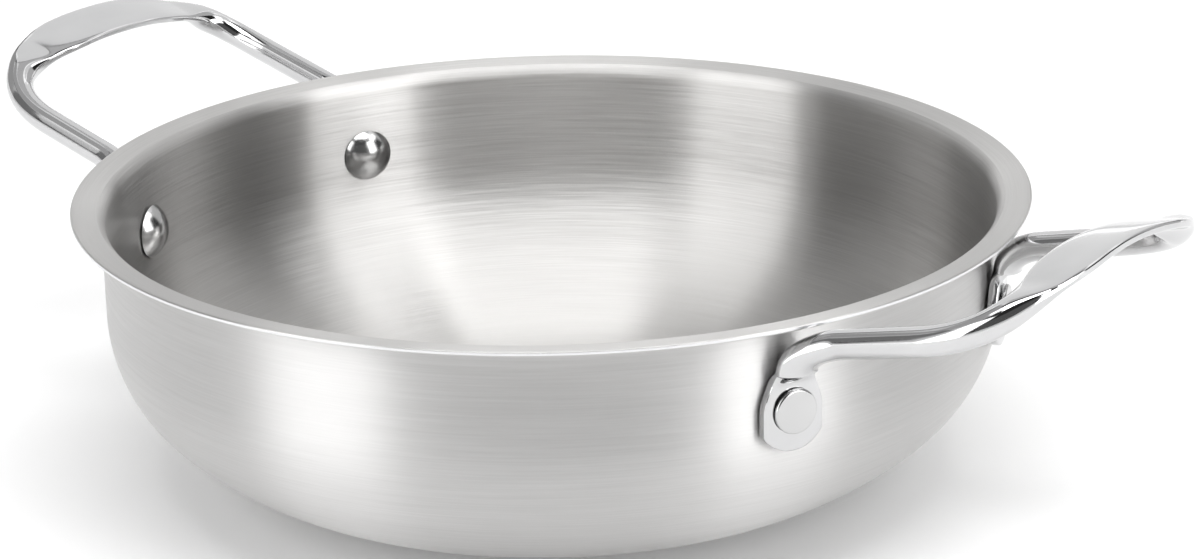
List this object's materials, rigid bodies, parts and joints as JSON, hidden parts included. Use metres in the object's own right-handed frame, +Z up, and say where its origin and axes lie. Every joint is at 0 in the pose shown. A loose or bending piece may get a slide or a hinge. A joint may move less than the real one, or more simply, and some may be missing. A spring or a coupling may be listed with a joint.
{
  "type": "ramen pot",
  "caption": "Shallow round stainless steel pot with rounded lower corners, a flared rim and raised loop handles riveted to opposite sides, for cooking and serving noodles.",
  "frame": {"origin": "centre of the flat underside of the base, on the surface the pot stands on", "axes": "+Z up through the middle of the pot, +X towards the right handle, +Y across the handles"},
  "size_m": [0.3376, 0.24, 0.0913],
  "materials": {
    "satin_steel_outside": "satin stainless steel, brushed round the pot",
    "aluminium_core": "bare aluminium, seen only at the cut edge of the rim",
    "brushed_steel_inside": "stainless steel, finely brushed in circles",
    "polished_steel_handle": "mirror-polished stainless steel",
    "polished_steel_rivet": "polished stainless steel"
  },
  "bodies": {
    "root": {"outer_ply": "satin_steel_outside", "core_ply": "aluminium_core", "inner_ply": "brushed_steel_inside", "right_handle": "polished_steel_handle", "right_handle_rivet_a": "polished_steel_rivet", "right_handle_rivet_b": "polished_steel_rivet", "left_handle": "polished_steel_handle", "left_handle_rivet_a": "polished_steel_rivet", "left_handle_rivet_b": "polished_steel_rivet"}
  },
  "joints": []
}
